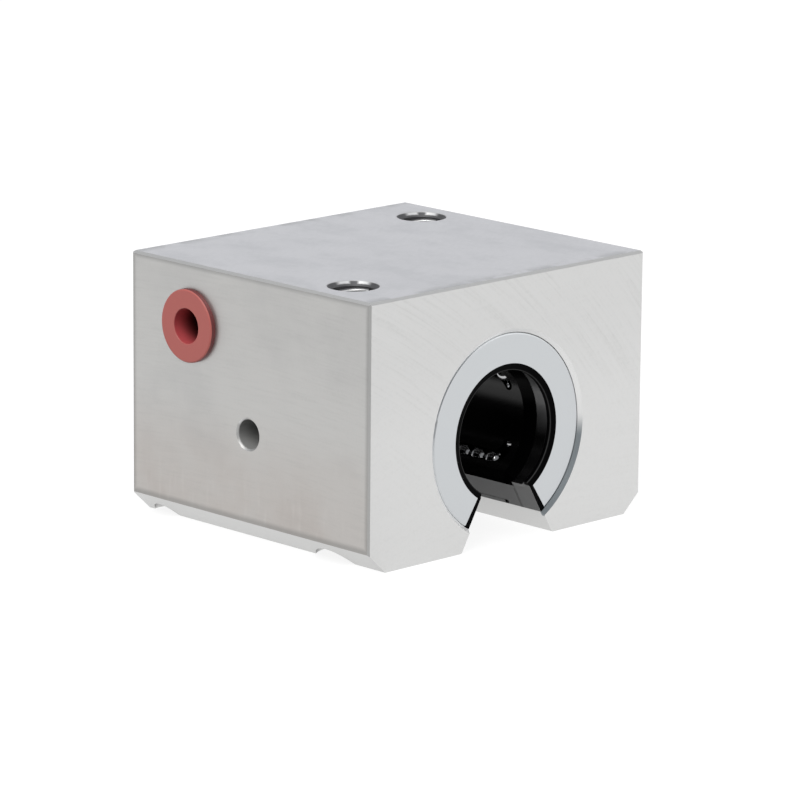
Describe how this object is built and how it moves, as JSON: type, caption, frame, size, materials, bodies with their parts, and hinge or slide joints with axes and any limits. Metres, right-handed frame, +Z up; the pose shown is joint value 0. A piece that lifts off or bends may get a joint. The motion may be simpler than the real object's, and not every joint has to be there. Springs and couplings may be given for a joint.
{
  "type": "open linear ball bushing unit",
  "caption": "Machined pillow block that carries an open ball bushing with end seals, for a shaft held from below.",
  "frame": {"origin": "on the shaft's axis, at mid length of the block", "axes": "+Y along the shaft, from the pictured front to the rear; +Z up to the mounting face; X across"},
  "size_m": [0.0609, 0.054, 0.0423],
  "materials": {
    "machined_aluminium": "fly-cut and milled, matte",
    "red_plastic": "moulded, satin",
    "black_steel": "black oxide",
    "black_plastic": "moulded, smooth",
    "hardened_steel": "ground",
    "bearing_steel": "polished",
    "zinc_steel": "bright zinc, smooth",
    "black_rubber": "moulded, matte"
  },
  "bodies": {
    "block": {"housing": "machined_aluminium", "locating_screw": "black_steel", "ball_cage": "black_plastic", "outer_sleeve": "black_plastic", "load_plate_1": "hardened_steel", "load_plate_2": "hardened_steel", "load_plate_3": "hardened_steel", "load_plate_4": "hardened_steel", "load_plate_5": "hardened_steel", "ball_circuit_1": "bearing_steel", "ball_circuit_2": "bearing_steel", "ball_circuit_3": "bearing_steel", "ball_circuit_4": "bearing_steel", "ball_circuit_5": "bearing_steel", "front_holding_ring": "hardened_steel", "rear_holding_ring": "hardened_steel", "front_seal_case": "zinc_steel", "rear_seal_case": "zinc_steel", "front_seal_lip": "black_rubber", "rear_seal_lip": "black_rubber"},
    "plug": {"lube_port_plug": "red_plastic"}
  },
  "joints": [
    {"name": "plug_pull", "type": "slide", "parent": "block", "child": "plug", "axis": [-1, 0, 0], "range_m": [0, 0.012]}
  ]
}
